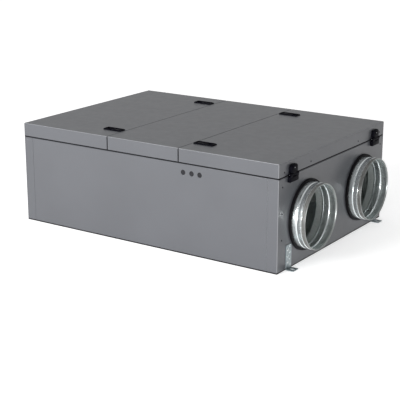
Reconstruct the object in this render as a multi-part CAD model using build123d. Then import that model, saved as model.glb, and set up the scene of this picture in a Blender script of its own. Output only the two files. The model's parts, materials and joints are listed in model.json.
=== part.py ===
"""Flat heat recovery unit: a sheet-steel casing with two hinged service doors and four duct spigots.

Frame: origin at the middle of the footprint, on the floor. X runs along the unit from its left end to
its right end, -Y is the front wall with the cable entries, and +Z is up, through the doors.
"""

from build123d import *
import math
import os

# ---- driving dimensions (mm) --------------------------------------------------------------------

LENGTH = 1200.0
WIDTH = 850.0
HEIGHT = 410.0
END = LENGTH / 2
SIDE = WIDTH / 2

SHEET = 1.2
BEND = 3.0            # outside radius of every fold
SHADOW_GAP = 4.0      # the walls stop this far above the floor
PAN_INSET = 4.0
PAN_LIP = 22.0
RIM = 353.0           # top of the casing walls
LID = 358.0           # lower edge of the door skins
WRAP = 45.0           # the end walls fold this far onto the front and back
SEAM = 0.5            # half the gap between an end wall and a front or back wall
RETURN = 28.0         # flanges that fold inwards from the walls
GAP = 1.5             # between the walls and what lines them
LINING = 25.0         # wall insulation
FLOOR = 27.0          # top of the base insulation
GASKET_TOP = 361.8
GASKET_INSET = 2.5    # from the outside of the walls to the seal

DOOR_SEAM = 168.0     # the doors meet the middle panel here, on both sides
DOOR_GAP = 0.4        # half of that gap
RELIEF = 2.2          # the folded bands stop short of the seam
BAR_WIDTH = 40.0      # crossbars under the seams
BAR_FOOT = 322.0

DUCT_R = 125.0        # outside of the spigots: a standard 250 mm duct
DUCT_Y = (-214.0, 232.0)      # the front and the back lane's ducts
DUCT_Z = 175.0
DUCT_SHEET = 1.0
SPIGOT_LENGTH = 62.0
COLLAR_R = 135.0
COLLAR_LENGTH = 9.0

HINGE_Y = 332.0
HINGE_X = 607.0
HINGE_Z = 357.0
KNUCKLE_R = 6.5
HINGE_PIN_R = 2.0
HINGE_WIDTH = 60.0
HINGE_DEPTH = 12.0    # how far the leaves stand out of the end wall
HINGE_SCREW_Z = 381.0

LATCH_Y = 318.0
LATCH_X = (172.0, 261.0)      # distance of a latch's two ends from the middle of the unit
LATCH_WIDTH = 36.0
PIVOT_X = 186.0
PIVOT_Z = 409.0
PIVOT_R = 2.0

BRACKET_Y = (-346.0, 360.0)
BRACKET_WIDTH = 40.0
BRACKET_LEG = 94.0
BRACKET_FOOT = 34.0
BRACKET_SHEET = 2.5
SLOT_X = 619.0
SLOT_LENGTH = 20.0
SLOT_R = 4.5

CABLE_X = (190.0, 228.0, 264.0)
CABLE_Z = 320.0
CABLE_R = 10.0

RIVET_R = 1.6
SCREW_R = 2.0
WALL_RIVET_Y = 397.0
WALL_RIVET_Z = (122.0, 221.0, 320.0)
BAND_RIVET_Y = (192.0, 385.0)
BAND_RIVET_Z = 372.0

CORE_POINT = 265.0    # the hexagonal core's two points, along X
CORE_FLAT = 100.0     # half the length of its flat sides
CORE_SIDE = 165.0     # the flat sides' distance from the middle
CORE_Z = (40.0, 275.0)
CORE_TOP = 279.0      # top of the core's upper end plate
PLENUM_TOP = 320.0

FILTER_LENGTH = 210.0
FILTER_DEPTH = 48.0
FILTER_Z = (40.0, 274.0)

FAN_Y = 214.0
FAN_Z = 188.0
FAN_PLATE_X = 330.0
IMPELLER_X = (345.0, 415.0)
IMPELLER_R = 112.5
INLET_R = 76.0
SHAFT_R = 6.0
BLADES = 7

TRAY_X = 305.0
TRAY_Y = 195.0
TRAY_TOP = 62.0
TRAY_SHEET = 2.0

DRAIN_Y = 75.0
DRAIN_Z = 42.0
DRAIN_R = 9.0
TAIL_R = 10.0         # outside of the hose tail, for a 20 mm hose
DRAIN_END = 640.0

DIVIDER = 6.0         # half the thickness of the foam walls between the air lanes

BOX_X = (200.0, 390.0)
BOX_Y = (-SIDE + SHEET + GAP + LINING, -322.0)
BOX_Z = (214.0, 340.0)
BOARD_Z = 232.0

SIDES = {"left": -1, "right": 1}

# ---- shared shapes ------------------------------------------------------------------------------


def block(x, y, z):
    """A box between two corners, each axis given as a pair in either order."""
    centre = [(a + b) / 2 for a, b in (x, y, z)]
    size = [abs(b - a) for a, b in (x, y, z)]
    return Pos(*centre) * Box(*size)


def rod(point, direction, radius, start, end):
    """A cylinder about the axis through point, from start to end along it."""
    axis = Plane(origin=point, z_dir=direction).location
    return axis * Pos(0, 0, (start + end) / 2) * Cylinder(radius, abs(end - start))


def turned(profile, point, direction):
    """A solid of revolution about an axis, from (radius, distance along the axis) points."""
    outline = Polyline(*[(radius, 0, along) for radius, along in profile], close=True)
    return Plane(origin=point, z_dir=direction).location * revolve(make_face(outline), Axis.Z)


def prism(points, z):
    """A plan outline raised between two heights."""
    return Pos(0, 0, z[0]) * extrude(Polygon(*points, align=None), z[1] - z[0])


def rounded(spans, axis, open_at, radius):
    """A box with every edge rounded except those of the face where axis is open_at."""
    body = block(*spans)
    edges = [e for e in body.edges() if abs(getattr(e.center(), axis) - open_at) > 0.01]
    return fillet(edges, radius)


def tray(x, y, z, mouth, sheet=SHEET, bend=BEND):
    """Sheet folded into a tray with rounded folds; mouth names its open face, such as -Z."""
    sign, axis = mouth
    end, beyond = (1, 1) if sign == "+" else (0, -1)
    outside = {letter: sorted(pair) for letter, pair in zip("XYZ", (x, y, z))}
    inside = {letter: [low + sheet, high - sheet] for letter, (low, high) in outside.items()}
    inside[axis][end] = outside[axis][end] + beyond
    outer = rounded(outside.values(), axis, outside[axis][end], bend)
    return outer - rounded(inside.values(), axis, inside[axis][end], bend - sheet)


def mirrored(side, low, high):
    """A pair of X values on one side of the middle, in ascending order."""
    return tuple(sorted((side * low, side * high)))


def save(node, *solids):
    """Write one named piece, which may be several separate solids."""
    pieces = [s for shape in solids for s in shape.solids()]
    export_step(Compound(children=pieces), f"parts/{node}.step")


# ---- casing: base, walls, posts, crossbars ------------------------------------------------------


def base_pan():
    """A shallow pan with a lip all round that the walls stand on."""
    x, y = END - PAN_INSET, SIDE - PAN_INSET
    pan = block((-x, x), (-y, y), (0, SHADOW_GAP))
    hollow = block((-x + SHEET, x - SHEET), (-y + SHEET, y - SHEET), (SHEET, SHADOW_GAP - SHEET))
    mouth = block((-x + PAN_LIP, x - PAN_LIP), (-y + PAN_LIP, y - PAN_LIP), (SHADOW_GAP - SHEET, SHADOW_GAP))
    return pan - hollow - mouth


def long_wall(face):
    """The front (face -1) or back (face 1) wall, with flanges folded in at its top and bottom."""
    reach = END - WRAP - SEAM
    depth = (face * SIDE, face * (SIDE - RETURN))
    wall = tray((-reach - 5, reach + 5), depth, (SHADOW_GAP, RIM), "+Y" if face < 0 else "-Y")
    wall = wall & block((-reach, reach), (-SIDE - 1, SIDE + 1), (0, HEIGHT))
    if face < 0:
        for x in CABLE_X:
            wall -= rod((x, -SIDE, CABLE_Z), (0, 1, 0), CABLE_R + 0.1, -1, 5)
    return wall


def end_wall(side):
    """An end wall that wraps onto the front and back, pierced for ducts, drain, rivets and screws."""
    wall = tray(mirrored(side, END - WRAP + SEAM, END), (-SIDE, SIDE), (SHADOW_GAP, RIM),
                "+X" if side < 0 else "-X")
    out = (side, 0, 0)
    start = END - 5
    for y in DUCT_Y:
        wall -= rod((0, y, DUCT_Z), out, DUCT_R + 0.3, start, END + 1)
    for y in (-WALL_RIVET_Y, WALL_RIVET_Y):
        for z in WALL_RIVET_Z:
            wall -= rod((0, y, z), out, RIVET_R, start, END + 1)
    for y in BRACKET_Y:
        for z in bracket_screw_heights():
            wall -= rod((0, y + bracket_zigzag(z), z), out, SCREW_R, start, END + 1)
    if side < 0:
        wall -= rod((0, DRAIN_Y, DRAIN_Z), out, DRAIN_R + 0.1, start, END + 1)
    return wall


def corner_posts():
    """Angle posts behind the four vertical seams."""
    posts = []
    heights = (SHADOW_GAP + BEND, RIM - BEND)
    for side in SIDES.values():
        for face in (-1, 1):
            x, y = side * (END - SHEET), face * (SIDE - SHEET)
            outer = block((x, x - side * 68), (y, y - face * 42), heights)
            corner = [e for e in outer.edges().filter_by(Axis.Z)
                      if abs(e.center().X - x) < 0.01 and abs(e.center().Y - y) < 0.01]
            outer = fillet(corner, BEND)
            post = outer - block((x - side * GAP, x - side * 70), (y - face * GAP, y - face * 44), heights)
            for z in WALL_RIVET_Z:
                post -= rod((0, face * WALL_RIVET_Y, z), (side, 0, 0), RIVET_R, END - 5, END)
            posts.append(post)
    return posts


def crossbar(side):
    """An inverted channel under one door seam, notched at its ends to pass under the wall flanges."""
    x = (side * DOOR_SEAM - BAR_WIDTH / 2, side * DOOR_SEAM + BAR_WIDTH / 2)
    inner = (x[0] + SHEET, x[1] - SHEET)
    reach = SIDE - SHEET - GAP - 0.5
    shoulder = SIDE - RETURN - 0.5
    bar = block(x, (-shoulder, shoulder), (BAR_FOOT, RIM))
    bar += block(x, (-reach, reach), (BAR_FOOT, RIM - SHEET))
    return bar - block(inner, (-reach - 1, reach + 1), (BAR_FOOT - 1, RIM - 2 * SHEET))


def gasket_ring(x):
    """One closed loop of seal on the rim."""
    y = SIDE - GASKET_INSET
    width = 12
    ring = block(x, (-y, y), (RIM, GASKET_TOP))
    return ring - block((x[0] + width, x[1] - width), (-y + width, y - width), (RIM - 1, GASKET_TOP + 1))


def rim_gasket():
    """A seal loop under each door and one under the middle panel."""
    near, far = DOOR_SEAM + 8, END - GASKET_INSET
    return [gasket_ring(mirrored(side, near, far)) for side in SIDES.values()] + [
        gasket_ring((-DOOR_SEAM + 8, DOOR_SEAM - 8))]


# ---- linings and dividers -----------------------------------------------------------------------


def base_insulation():
    """A foam slab over the pan, stepped down past the wall flanges and then past the pan's lip."""
    x, y = END - SHEET - GAP - 0.5, SIDE - SHEET - GAP - 0.5
    slab = block((-x, x), (-y, y), (SHADOW_GAP + SHEET, FLOOR))
    x, y = END - WRAP - 1, SIDE - RETURN - 2
    slab += block((-x, x), (-y, y), (SHADOW_GAP, SHADOW_GAP + SHEET))
    margin = PAN_INSET + PAN_LIP + 1
    x, y = END - margin, SIDE - margin
    return slab + block((-x, x), (-y, y), (SHEET, SHADOW_GAP))


def wall_insulation():
    """A ring of foam boards inside the four walls, cut for ducts, crossbars, cables and drain."""
    x, y = END - SHEET - GAP, SIDE - SHEET - GAP
    heights = (FLOOR, RIM - SHEET - 0.5)
    ring = block((-x, x), (-y, y), heights)
    ring -= block((-x + LINING, x - LINING), (-y + LINING, y - LINING), heights)
    for duct_y in DUCT_Y:
        ring -= rod((0, duct_y, DUCT_Z), (1, 0, 0), DUCT_R - DUCT_SHEET, -END, END)
    for side in SIDES.values():
        bar = (side * DOOR_SEAM - BAR_WIDTH / 2, side * DOOR_SEAM + BAR_WIDTH / 2)
        ring -= block(bar, (-SIDE, SIDE), (BAR_FOOT, RIM))
    for cable_x in CABLE_X:
        ring -= rod((cable_x, -SIDE, CABLE_Z), (0, 1, 0), CABLE_R + 3, 0, 50)
    return ring - rod((0, DRAIN_Y, DRAIN_Z), (-1, 0, 0), DRAIN_R + 0.2, END - 50, END)


def lane_divider(side):
    """The foam wall between a front and a back air lane, from the core's point to the end wall."""
    end = END - SHEET - GAP - LINING
    bar = DOOR_SEAM + BAR_WIDTH / 2 + 0.5
    top = GASKET_TOP - 0.3
    y = (-DIVIDER, DIVIDER)
    wall = block(mirrored(side, CORE_POINT + 1, end), y, (FLOOR, top))
    wall += block(mirrored(side, bar, CORE_POINT + 2), y, (PLENUM_TOP + 0.5, top))
    wall -= block(mirrored(side, TRAY_X - TRAY_SHEET, TRAY_X), y, (FLOOR, TRAY_TOP))
    wall -= block(mirrored(side, CORE_POINT, TRAY_X), y, (FLOOR, FLOOR + TRAY_SHEET))
    return wall - block(mirrored(side, END - WRAP, END), y, (RIM - SHEET, top))


def divider_sheet(side):
    """A galvanised splash plate on the front face of a lane divider, low down."""
    end = END - SHEET - GAP - LINING
    return block(mirrored(side, TRAY_X, end), (-DIVIDER - SHEET, -DIVIDER), (FLOOR, DUCT_Z - 18))


def cross_partition(face):
    """The foam wall between the left and right lanes, from the core's flat side to a long wall."""
    x = (-DIVIDER, DIVIDER)
    wall = block(x, (face * CORE_SIDE, face * (SIDE - SHEET - GAP - LINING)), (FLOOR, RIM - SHEET))
    wall -= block(x, (face * (TRAY_Y - TRAY_SHEET), face * TRAY_Y), (FLOOR, TRAY_TOP))
    return wall - block(x, (face * CORE_SIDE, face * TRAY_Y), (FLOOR, FLOOR + TRAY_SHEET))


# ---- ducts, drain, cable entries, brackets ------------------------------------------------------


def spigot(side, y):
    """A spun duct spigot: a flange behind the end wall, two rolled-in beads and a plain rim."""
    outer, inner = DUCT_R, DUCT_R - DUCT_SHEET
    beads = [(28.0, 2.0, 2.0), (48.5, 3.5, 3.5)]      # middle, depth and half-width of each bead
    back, front = -2.3, -1.3
    profile = [(inner, back), (137.0, back), (137.0, front), (outer, front)]
    for middle, depth, half in beads:
        profile += [(outer, middle - half), (outer - depth, middle - half / 3),
                    (outer - depth, middle + half / 3), (outer, middle + half)]
    profile += [(outer, SPIGOT_LENGTH), (inner, SPIGOT_LENGTH)]
    for middle, depth, half in reversed(beads):
        profile += [(inner, middle + half + 0.4), (inner - depth, middle + half / 3 + 0.4),
                    (inner - depth, middle - half / 3 - 0.4), (inner, middle - half - 0.4)]
    return turned(profile, (side * END, y, DUCT_Z), (side, 0, 0))


def spigot_collar(side, y):
    """The rubber collar that seals a spigot against the end wall."""
    profile = [(DUCT_R, 0), (COLLAR_R, 0), (COLLAR_R, COLLAR_LENGTH - 2), (COLLAR_R - 2, COLLAR_LENGTH),
               (DUCT_R, COLLAR_LENGTH)]
    return turned(profile, (side * END, y, DUCT_Z), (side, 0, 0))


def bracket_zigzag(z):
    """The bracket holes step from side to side as they go up."""
    return 8.0 if round((z - 16) / 12) % 2 else -8.0


def bracket_screw_heights():
    """Two of the seven holes carry screws."""
    return 28.0, 76.0


def bracket(side, y):
    """A perforated angle bracket with a slotted foot, screwed to an end wall."""
    across = (y - BRACKET_WIDTH / 2, y + BRACKET_WIDTH / 2)
    leg = block(mirrored(side, END, END + BRACKET_SHEET), across, (0, BRACKET_LEG))
    foot = block(mirrored(side, END, END + BRACKET_FOOT), across, (0, BRACKET_SHEET))
    angle = leg + foot
    for step in range(7):
        z = 16.0 + 12 * step
        angle -= rod((0, y + bracket_zigzag(z), z), (side, 0, 0), 2.5, END - 1, END + 5)
    slot = Pos(side * SLOT_X, y, 0) * extrude(SlotOverall(SLOT_LENGTH, 2 * SLOT_R), 5)
    return angle - slot


def screw(point, direction):
    """A pan-head screw; point is under its head and direction points out of the surface."""
    head_r, head, shank, edge = 4.0, 2.2, 4.0, 0.8
    profile = [(0, -shank), (SCREW_R, -shank), (SCREW_R, 0), (head_r, 0), (head_r, head - edge),
               (head_r - edge, head), (0, head)]
    return turned(profile, point, direction)


def rivet(point, direction):
    """A blind rivet: a low dome and the set end of its body behind the sheet."""
    head = turned([(0, 0), (3.2, 0), (2.6, 0.8), (1.4, 1.3), (0, 1.3)], point, direction)
    return head + rod(point, direction, RIVET_R, -SHEET - GAP, 0)


def casing_fasteners():
    pieces = []
    for side in SIDES.values():
        for y in (-WALL_RIVET_Y, WALL_RIVET_Y):
            pieces += [rivet((side * END, y, z), (side, 0, 0)) for z in WALL_RIVET_Z]
        for y in BRACKET_Y:
            pieces += [screw((side * (END + BRACKET_SHEET), y + bracket_zigzag(z), z), (side, 0, 0))
                       for z in bracket_screw_heights()]
    return pieces


def cable_grommet(x):
    """A flush rubber plug for one cable entry."""
    plug = rod((x, -SIDE, CABLE_Z), (0, 1, 0), CABLE_R, 0, 2.5)
    return plug + rod((x, -SIDE, CABLE_Z), (0, 1, 0), CABLE_R + 2.5, SHEET + 0.1, 2.5)


def drain_tray():
    """The condensate tray under the core, with a short outlet on its left side."""
    pan = tray((-TRAY_X, TRAY_X), (-TRAY_Y, TRAY_Y), (FLOOR, TRAY_TOP), "+Z", TRAY_SHEET, TRAY_SHEET + 0.2)
    return pan - rod((0, DRAIN_Y, DRAIN_Z), (-1, 0, 0), DRAIN_R, TRAY_X - 10, TRAY_X + 5)


def drain_pipe():
    """The drain from the tray through the left end wall, ending in a flange and a hose tail."""
    bore, flange = DRAIN_R - 2, DRAIN_R + 5
    neck, tail = END + 3, END + 4
    profile = [(bore, TRAY_X - TRAY_SHEET), (DRAIN_R, TRAY_X - TRAY_SHEET), (DRAIN_R, END), (flange, END),
               (flange, neck), (DRAIN_R, neck), (DRAIN_R, tail), (TAIL_R, tail), (TAIL_R, DRAIN_END),
               (bore, DRAIN_END)]
    return turned(profile, (0, DRAIN_Y, DRAIN_Z), (-1, 0, 0))


# ---- heat exchanger, filters, bypass ------------------------------------------------------------


def hexagon(inset=0.0):
    """The core's plan outline, moved in from its faces."""
    point = CORE_POINT - inset * math.sqrt(2)
    side = CORE_SIDE - inset
    flat = point - side
    return [(point, 0), (flat, side), (-flat, side), (-point, 0), (-flat, -side), (flat, -side)]


def exchanger_core():
    """A stack of thin hexagonal plates on a solid middle."""
    plates = 20
    pitch = (CORE_Z[1] - CORE_Z[0]) / plates
    core = prism(hexagon(14), CORE_Z)
    for index in range(plates):
        z = CORE_Z[0] + index * pitch + pitch * 0.3
        core += prism(hexagon(3), (z, z + pitch * 0.4))
    return core


def exchanger_frame():
    """End plates above and below the plates, joined by six corner posts."""
    plates = prism(hexagon(), (CORE_Z[1], CORE_TOP)) + prism(hexagon(), (CORE_Z[0] - 4, CORE_Z[0]))
    skirt = prism(hexagon(), CORE_Z) - prism(hexagon(2.5), CORE_Z)
    reach = 17
    corners = [block((x - reach, x + reach), (y - reach, y + reach), CORE_Z) for x, y in hexagon()]
    return plates + [skirt & corner for corner in corners]


def slanted(side, along, out, z):
    """Places a shape on the core's slanted front face on one side.

    The shape's own X runs along the face, its Y points away from the core and its Z is up.
    """
    middle_x, middle_y = (CORE_POINT + CORE_FLAT) / 2, -CORE_SIDE / 2
    turn = -135 if side > 0 else 135
    offset = out / math.sqrt(2)
    shift = along / math.sqrt(2)
    x = side * (middle_x + offset + shift)
    y = middle_y - offset + shift
    return Location((x, y, z), (0, 0, turn))


def filter_frame(side):
    """The card frame of a filter cassette."""
    height = FILTER_Z[1] - FILTER_Z[0]
    frame = Box(FILTER_LENGTH, FILTER_DEPTH, height)
    frame -= Box(FILTER_LENGTH - 8, FILTER_DEPTH + 2, height - 8)
    return slanted(side, 0, FILTER_DEPTH / 2 + 3, sum(FILTER_Z) / 2) * frame


def filter_media(side):
    """The folded filter paper: one zigzag sheet."""
    folds, thickness = 12, 6.0      # the thickness is measured along the airflow, down the steep folds
    width = FILTER_LENGTH - 8
    reach = (FILTER_DEPTH - 6 - thickness) / 2
    pitch = width / folds
    crest = [(-width / 2 + index * pitch / 2, reach if index % 2 else -reach)
             for index in range(2 * folds + 1)]
    front = [(x, y - thickness / 2) for x, y in crest]
    back = [(x, y + thickness / 2) for x, y in crest]
    zigzag = Polygon(*front, *reversed(back), align=None)
    height = FILTER_Z[1] - FILTER_Z[0] - 8
    sheet = Pos(0, 0, -height / 2) * extrude(zigzag, height)
    return slanted(side, 0, FILTER_DEPTH / 2 + 3, sum(FILTER_Z) / 2) * sheet


def bypass_duct():
    """The flat duct over the core that lets fresh air pass it by, from left front to right back."""
    wall = 2.0
    z = (CORE_TOP, PLENUM_TOP)
    shell = prism(hexagon(), z) - prism(hexagon(wall), (z[0], z[1] - wall))
    mouth = prism([(-CORE_POINT - 9, 0), (-CORE_FLAT - 9, -CORE_SIDE), (-CORE_FLAT + 6, -CORE_SIDE + 15),
                   (-CORE_POINT + 21, 0)], (z[0], z[1] - wall))
    outlet = prism([(CORE_POINT + 9, 0), (CORE_FLAT + 9, CORE_SIDE), (CORE_FLAT - 6, CORE_SIDE - 15),
                    (CORE_POINT - 21, 0)], (z[0], z[1] - wall))
    shaft = blade_axis() * Pos(125, 0, 0) * Rot(0, 90, 0) * Cylinder(3.1, 60)
    return shell - mouth - outlet - shaft


def blade_axis():
    """The damper shaft, just inside the plenum's left-front mouth."""
    return slanted(-1, 0, -26, (CORE_TOP + PLENUM_TOP - 2) / 2)


def bypass_blade():
    """The damper blade on its shaft, shown shut."""
    blade = Box(186, 2.5, 34) + Rot(0, 90, 0) * Cylinder(4, 186)
    shaft = Pos(38, 0, 0) * Rot(0, 90, 0) * Cylinder(3.0, 250)
    return blade_axis() * (blade + shaft)


def bypass_actuator():
    """The damper motor, on the end of the shaft and outside the plenum."""
    body = fillet(Box(34, 62, 36).edges(), 3)
    return blade_axis() * Pos(148, 0, 0) * (body - Rot(0, 90, 0) * Cylinder(3.1, 60))


# ---- fans ---------------------------------------------------------------------------------------


def fan_plate(side):
    """The bulkhead that carries a fan's inlet nozzle, across one back lane."""
    thick = 2.0
    x = mirrored(side, FAN_PLATE_X, FAN_PLATE_X + thick)
    plate = block(x, (6, SIDE - SHEET - GAP - LINING), (FLOOR, RIM - SHEET))
    plate -= rod((0, FAN_Y, FAN_Z), (side, 0, 0), INLET_R + 14, FAN_PLATE_X - 1, FAN_PLATE_X + 5)
    if side < 0:
        plate -= rod((0, DRAIN_Y, DRAIN_Z), (side, 0, 0), DRAIN_R + 0.2, FAN_PLATE_X - 1, FAN_PLATE_X + 5)
    near, far = FAN_PLATE_X, IMPELLER_X[0] + 6
    nozzle = turned([(INLET_R + 22, near - 2), (INLET_R + 22, near), (INLET_R + 12, near),
                     (INLET_R + 4, near + 6), (INLET_R, near + 14), (INLET_R, far), (INLET_R - 2, far),
                     (INLET_R - 2, near + 13), (INLET_R + 2.5, near + 4), (INLET_R + 11, near - 2)],
                    (0, FAN_Y, FAN_Z), (side, 0, 0))
    return plate + nozzle


def impeller(side):
    """A backward-curved wheel: back plate with hub, inlet ring and blades between them."""
    near, far = IMPELLER_X
    axis = ((0, FAN_Y, FAN_Z), (side, 0, 0))
    back = rod(*axis, IMPELLER_R, far - 3, far)
    hub = rod(*axis, 22, far - 16, far + 6)
    ring = turned([(INLET_R + 3, near), (INLET_R + 5, near), (INLET_R + 12, near + 8),
                   (IMPELLER_R, near + 18), (IMPELLER_R, near + 20), (INLET_R + 10, near + 10),
                   (INLET_R + 3, near + 2)], *axis)
    band = (Pos(60, 0) * (Circle(60) - Circle(58))) & (Circle(IMPELLER_R - 1) - Circle(70))
    profile = [face for face in band.faces() if face.center().Y > 0][0]
    blade = Pos(0, 0, near + 12) * extrude(profile, far - near - 14)
    trim = turned([(60, near), (INLET_R + 4, near + 2), (INLET_R + 11, near + 9), (IMPELLER_R + 2, near + 19),
                   (IMPELLER_R + 2, far), (60, far)], (0, 0, 0), (0, 0, 1))
    blade = blade & trim
    wheel = back + hub + ring
    place = Plane(origin=(0, FAN_Y, FAN_Z), z_dir=(side, 0, 0)).location
    for index in range(BLADES):
        wheel += place * Rot(0, 0, index * 360 / BLADES) * blade
    return wheel - rod(*axis, SHAFT_R + 0.05, near, far + 10)


def fan_motor(side):
    """The motor behind the wheel, with its shaft reaching into the hub."""
    axis = ((0, FAN_Y, FAN_Z), (side, 0, 0))
    far = IMPELLER_X[1]
    can = rod(*axis, 52, far + 12, far + 66)
    can = fillet([e for e in can.edges() if e.geom_type == GeomType.CIRCLE], 5)
    return can + rod(*axis, SHAFT_R, far - 12, far + 14)


def motor_bracket(side):
    """A folded strut from the floor that holds the motor's back."""
    face = IMPELLER_X[1] + 66
    upright = block(mirrored(side, face, face + 3), (FAN_Y - 45, FAN_Y + 45), (FLOOR, FAN_Z + 50))
    foot = block(mirrored(side, face, face + 60), (FAN_Y - 45, FAN_Y + 45), (FLOOR, FLOOR + 3))
    strut = upright + foot
    for y in (FAN_Y - 45, FAN_Y + 42):
        shape = Polygon((face + 3, FLOOR + 3), (face + 55, FLOOR + 3), (face + 3, FAN_Z + 20), align=None)
        gusset = Plane(origin=(0, y + 3, 0), x_dir=(1, 0, 0), z_dir=(0, -1, 0)) * extrude(shape, 3)
        if side < 0:
            gusset = gusset.mirror(Plane.YZ)
        strut += gusset
    return strut


# ---- control box --------------------------------------------------------------------------------


def control_box():
    """An open-topped box on the front wall's lining, with two cable holes."""
    box = tray(BOX_X, BOX_Y, BOX_Z, "+Z", sheet=1.0, bend=1.6)
    for x in CABLE_X[1:]:
        box -= rod((x, -SIDE, CABLE_Z), (0, 1, 0), CABLE_R, 0, 40)
    return box


def control_box_lid():
    return block(BOX_X, BOX_Y, (BOX_Z[1], BOX_Z[1] + SHEET))


def circuit_board():
    """The controller board on four posts, with its larger components."""
    x, y = (BOX_X[0] + 8, BOX_X[1] - 8), (BOX_Y[0] + 6, BOX_Y[1] - 6)
    top = BOARD_Z + 1.6
    board = block(x, y, (BOARD_Z, top))
    pieces = []
    for post_x in (x[0] + 6, x[1] - 6):
        for post_y in (y[0] + 6, y[1] - 6):
            pieces.append(rod((post_x, post_y, 0), (0, 0, 1), 3, BOX_Z[0] + 1.0, BOARD_Z))
    pieces.append(block((x[0] + 14, x[0] + 52), (y[0] + 14, y[0] + 46), (top, top + 30)))
    for index in range(4):
        relay = x[0] + 62 + index * 22
        pieces.append(block((relay, relay + 16), (y[0] + 30, y[0] + 44), (top, top + 15)))
    for index in range(2):
        pieces.append(rod((x[0] + 70 + index * 20, y[0] + 14, 0), (0, 0, 1), 7, top, top + 24))
    pieces.append(block((x[0] + 110, x[0] + 164), (y[0] + 4, y[0] + 16), (top, top + 12)))
    return board + pieces


# ---- doors, middle panel, hinges ----------------------------------------------------------------


def lid_skin(x, seams):
    """A folded cover skin; its front and back bands are cut short beside each seam."""
    skin = tray(x, (-SIDE, SIDE), (LID, HEIGHT), "-Z")
    for seam in seams:
        inward = RELIEF if seam == x[0] else -RELIEF
        for face in (-1, 1):
            skin -= block((seam - 0.1 * inward, seam + inward), (face * (SIDE + 1), face * (SIDE - 6)),
                          (LID - 1, HEIGHT - 3))
    return skin


def latch_x(side, near, far):
    """A stretch of a latch, measured along X from its seam-side end."""
    return mirrored(side, LATCH_X[0] + near, LATCH_X[0] + far)


def door_skin(side):
    near = DOOR_SEAM + DOOR_GAP
    skin = lid_skin(mirrored(side, near, END), [side * near])
    for y in (-LATCH_Y, LATCH_Y):
        skin -= block(latch_x(side, 5.4, 83.6), (y - 15.1, y + 15.1), (HEIGHT - 5, HEIGHT + 1))
    for y in BAND_RIVET_Y:
        for face in (-1, 1):
            skin -= rod((0, face * y, BAND_RIVET_Z), (side, 0, 0), RIVET_R, END - 5, END + 1)
    for y in (-HINGE_Y, HINGE_Y):
        skin -= rod((0, y, HINGE_SCREW_Z), (side, 0, 0), SCREW_R, END - 5, END + 1)
    return skin


def lid_lining(x, foot):
    """The insulation that fills a cover, a little clear of its folds."""
    inset = SHEET + 0.9
    return block((x[0] + inset, x[1] - inset), (-SIDE + inset, SIDE - inset), (foot, HEIGHT - inset))


def door_lining(side):
    lining = lid_lining(mirrored(side, DOOR_SEAM + DOOR_GAP, END), GASKET_TOP + 0.2)
    for y in (-LATCH_Y, LATCH_Y):
        lining -= block(latch_x(side, -4, 86), (y - 17, y + 17), (LID, HEIGHT))
    for y in BAND_RIVET_Y + tuple(-y for y in BAND_RIVET_Y):
        lining -= rod((0, y, BAND_RIVET_Z), (side, 0, 0), RIVET_R + 0.5, END - 8, END)
    for y in (-HINGE_Y, HINGE_Y):
        lining -= rod((0, y, HINGE_SCREW_Z), (side, 0, 0), SCREW_R + 0.6, END - 8, END)
    return lining


def hinge_base(side, y):
    """The casing half of a door hinge: a plain leaf with the two outer knuckles."""
    half = HINGE_WIDTH / 2
    top = HINGE_Z - 7.5
    leaf = block(mirrored(side, END, END + HINGE_DEPTH), (y - half, y + half), (330, top))
    corner = [e for e in leaf.edges().filter_by(Axis.Y) if abs(e.center().Z - top) < 0.01
              and abs(abs(e.center().X) - END - HINGE_DEPTH) < 0.01]
    leaf = chamfer(corner, 2)
    for face in (-1, 1):
        low, high = sorted((y + face * 12.4, y + face * half))
        knuckle = rod((side * HINGE_X, 0, HINGE_Z), (0, 1, 0), KNUCKLE_R, low, high)
        web = block(mirrored(side, HINGE_X - 5, HINGE_X + 5), (low, high), (top - 0.5, HINGE_Z))
        leaf += knuckle + web
    return leaf - rod((side * HINGE_X, 0, HINGE_Z), (0, 1, 0), HINGE_PIN_R, y - half - 1, y + half + 1)


def hinge_leaf(side, y):
    """The door half of a hinge: a narrower leaf with cut corners and the middle knuckle."""
    foot, top = HINGE_Z + 7.5, 392.0
    wide, narrow, cut = 23.0, 15.0, 8.0
    outline = [(-wide, foot), (wide, foot), (wide, top - cut), (narrow, top), (-narrow, top),
               (-wide, top - cut)]
    plate = extrude(Polygon(*outline, align=None), HINGE_DEPTH)
    turn = Plane(origin=(side * END, y, 0), x_dir=(0, side, 0), z_dir=(side, 0, 0))
    leaf = turn.location * plate
    face_x = END + HINGE_DEPTH
    outer = [e for e in leaf.edges() if abs(abs(e.center().X) - face_x) < 0.01 and e.center().Z > foot + 1]
    leaf = chamfer(outer, 2)
    leaf += rod((side * HINGE_X, 0, HINGE_Z), (0, 1, 0), KNUCKLE_R, y - 12, y + 12)
    leaf += block(mirrored(side, HINGE_X - 5, HINGE_X + 5), (y - 12, y + 12), (HINGE_Z, foot + 0.5))
    leaf -= rod((side * HINGE_X, 0, HINGE_Z), (0, 1, 0), HINGE_PIN_R + 0.05, y - 20, y + 20)
    return leaf - rod((side * END, y, HINGE_SCREW_Z), (side, 0, 0), SCREW_R, -1, HINGE_DEPTH + 2)


def hinge_pin(side, y):
    half = HINGE_WIDTH / 2 - 0.5
    return rod((side * HINGE_X, 0, HINGE_Z), (0, 1, 0), HINGE_PIN_R, y - half, y + half)


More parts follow.
